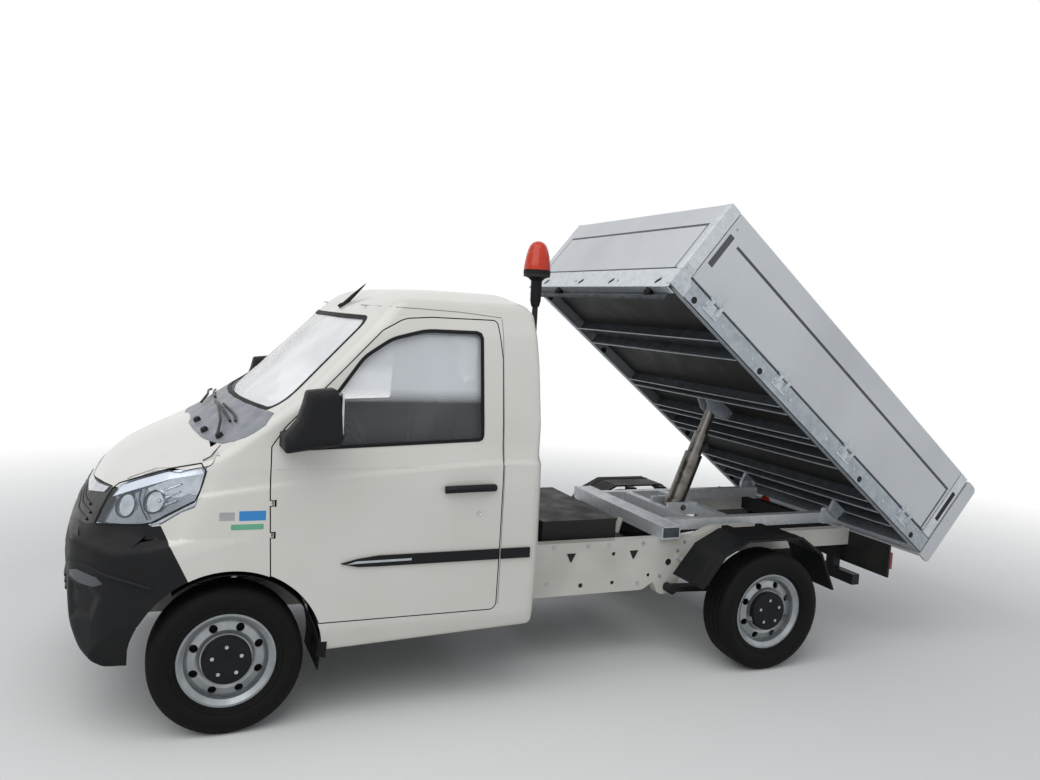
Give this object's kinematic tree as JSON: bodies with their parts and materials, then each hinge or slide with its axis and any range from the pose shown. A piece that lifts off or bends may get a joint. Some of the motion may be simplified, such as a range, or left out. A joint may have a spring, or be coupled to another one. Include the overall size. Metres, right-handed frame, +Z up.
{
  "type": "small dump truck with a raised tipping bed",
  "caption": "Small two-seat dump truck with a short bonnet, ladder frame, telescopic cylinder and a raised tipping bed with fold-down sides.",
  "frame": {"origin": "on the ground under the middle of the bounding box, bed raised", "axes": "+X to the truck's left, -Y the front, +Z up"},
  "size_m": [1.98, 4.6567, 2.3408],
  "materials": {
    "body_paint": "glossy off-white paint",
    "frame_paint": "off-white chassis paint",
    "black_plastic": "grained black plastic",
    "black_metal": "black chassis paint",
    "galvanised_steel": "zinc-coated, slightly mottled",
    "bed_aluminium": "anodised planks",
    "clear_glass": "clear, slightly green",
    "lamp_lens": "clear lens over chrome reflectors",
    "amber_lens": "red-orange translucent dome",
    "tail_lens": "red and amber lenses",
    "seat_cloth": "dark woven cloth",
    "wheel_silver": "silver wheel paint with black cap",
    "tyre_rubber": "black rubber",
    "cylinder_metal": "dark oiled steel"
  },
  "bodies": {
    "chassis": {"cab_roof": "body_paint", "bumper": "black_plastic", "headlamps": "lamp_lens", "grille": "black_plastic", "fender_left": "body_paint", "fender_right": "body_paint", "windscreen": "clear_glass", "rear_window": "clear_glass", "cab_shell": "body_paint", "dashboard": "black_plastic", "steering_wheel": "black_plastic", "seat_boxes": "black_metal", "seat_cushions": "seat_cloth", "seat_backs": "seat_cloth", "rail_left": "frame_paint", "rail_right": "frame_paint", "frame_cross_members": "black_metal", "tip_subframe": "galvanised_steel", "engine_block": "black_metal", "battery_box": "black_metal", "rear_axle": "black_metal", "prop_shaft": "black_metal", "leaf_springs": "black_metal", "front_suspension": "black_metal", "rear_fender_left": "black_plastic", "rear_fender_right": "black_plastic", "rear_underride": "black_metal", "tail_lamps": "tail_lens", "beacon_pole": "galvanised_steel", "beacon_dome": "amber_lens"},
    "hood": {"hood": "body_paint"},
    "door_left": {"door_left": "body_paint", "door_glass_left": "clear_glass", "mirror_left": "black_plastic"},
    "door_right": {"door_right": "body_paint", "door_glass_right": "clear_glass", "mirror_right": "black_plastic"},
    "knuckle_left": {"knuckle_left": "black_metal"},
    "knuckle_right": {"knuckle_right": "black_metal"},
    "front_wheel_left": {"wheel_front_left": "wheel_silver", "tyre_front_left": "tyre_rubber"},
    "front_wheel_right": {"wheel_front_right": "wheel_silver", "tyre_front_right": "tyre_rubber"},
    "rear_wheel_left": {"wheel_rear_left": "wheel_silver", "tyre_rear_left": "tyre_rubber"},
    "rear_wheel_right": {"wheel_rear_right": "wheel_silver", "tyre_rear_right": "tyre_rubber"},
    "bed": {"bed_frame": "galvanised_steel", "bed_floor": "bed_aluminium", "headboard": "bed_aluminium"},
    "dropside_left": {"dropside_left": "bed_aluminium"},
    "dropside_right": {"dropside_right": "bed_aluminium"},
    "tailgate": {"tailgate": "bed_aluminium"},
    "barrel": {"cylinder_barrel": "cylinder_metal"},
    "stage_1": {"cylinder_stage_1": "cylinder_metal"},
    "stage_2": {"cylinder_stage_2": "cylinder_metal"},
    "rod": {"cylinder_rod": "cylinder_metal"}
  },
  "joints": [
    {"name": "hood_open", "type": "hinge", "parent": "chassis", "child": "hood", "pos_m": [0, -1.76401, 1.222], "axis": [-1, 0, 0], "range_deg": [0, 45]},
    {"name": "door_left_open", "type": "hinge", "parent": "chassis", "child": "door_left", "pos_m": [0.832, -1.53801, 1], "axis": [0, 0, -1], "range_deg": [0, 65]},
    {"name": "door_right_open", "type": "hinge", "parent": "chassis", "child": "door_right", "pos_m": [-0.832, -1.53801, 1], "axis": [0, 0, 1], "range_deg": [0, 65]},
    {"name": "steer_left", "type": "hinge", "parent": "chassis", "child": "knuckle_left", "pos_m": [0.66, -1.69401, 0.306], "axis": [0, 0, 1], "range_deg": [-35, 35]},
    {"name": "steer_right", "type": "hinge", "parent": "chassis", "child": "knuckle_right", "pos_m": [-0.66, -1.69401, 0.306], "axis": [0, 0, 1], "range_deg": [-35, 35]},
    {"name": "spin_front_left", "type": "hinge", "parent": "knuckle_left", "child": "front_wheel_left", "pos_m": [0.7025, -1.69401, 0.306], "axis": [1, 0, 0], "continuous": true},
    {"name": "spin_front_right", "type": "hinge", "parent": "knuckle_right", "child": "front_wheel_right", "pos_m": [-0.7025, -1.69401, 0.306], "axis": [1, 0, 0], "continuous": true},
    {"name": "spin_rear_left", "type": "hinge", "parent": "chassis", "child": "rear_wheel_left", "pos_m": [0.7375, 0.96599, 0.306], "axis": [1, 0, 0], "continuous": true},
    {"name": "spin_rear_right", "type": "hinge", "parent": "chassis", "child": "rear_wheel_right", "pos_m": [-0.7375, 0.96599, 0.306], "axis": [1, 0, 0], "continuous": true},
    {"name": "bed_tip", "type": "hinge", "parent": "chassis", "child": "bed", "pos_m": [0, 1.69899, 0.71], "axis": [-1, 0, 0], "range_deg": [-38.54, 6.46]},
    {"name": "dropside_left_open", "type": "hinge", "parent": "bed", "child": "dropside_left", "pos_m": [0.832, 1.15217, 1.3348], "axis": [0, 0.7822, -0.6231], "range_deg": [0, 175]},
    {"name": "dropside_right_open", "type": "hinge", "parent": "bed", "child": "dropside_right", "pos_m": [-0.832, 1.15217, 1.3348], "axis": [0, -0.7822, 0.6231], "range_deg": [0, 175]},
    {"name": "tailgate_open", "type": "hinge", "parent": "bed", "child": "tailgate", "pos_m": [0, 2.30046, 0.90975], "axis": [1, 0, 0], "range_deg": [0, 100]},
    {"name": "cylinder_lean", "type": "hinge", "parent": "chassis", "child": "barrel", "pos_m": [0, 0.87399, 0.692], "axis": [-1, 0, 0], "range_deg": [-18.1, 3.2]},
    {"name": "cylinder_slide_1", "type": "slide", "parent": "barrel", "child": "stage_1", "axis": [0, 0.3542, 0.9352], "range_m": [-0.29068, 0.04914]},
    {"name": "cylinder_slide_2", "type": "slide", "parent": "stage_1", "child": "stage_2", "axis": [0, 0.3542, 0.9352], "range_m": [-0.12558, 0.02147]},
    {"name": "cylinder_slide_3", "type": "slide", "parent": "stage_2", "child": "rod", "axis": [0, 0.3542, 0.9352], "range_m": [-0.12458, 0.0213]}
  ],
  "couplings": [
    {"joint": "steer_right", "follows": "steer_left", "ratio": 1},
    {"joint": "cylinder_lean", "follows": "bed_tip", "ratio": 0.46442},
    {"joint": "cylinder_slide_1", "follows": "bed_tip", "m_per_rad": 0.4314},
    {"joint": "cylinder_slide_2", "follows": "bed_tip", "m_per_rad": 0.18595},
    {"joint": "cylinder_slide_3", "follows": "bed_tip", "m_per_rad": 0.18446}
  ]
}
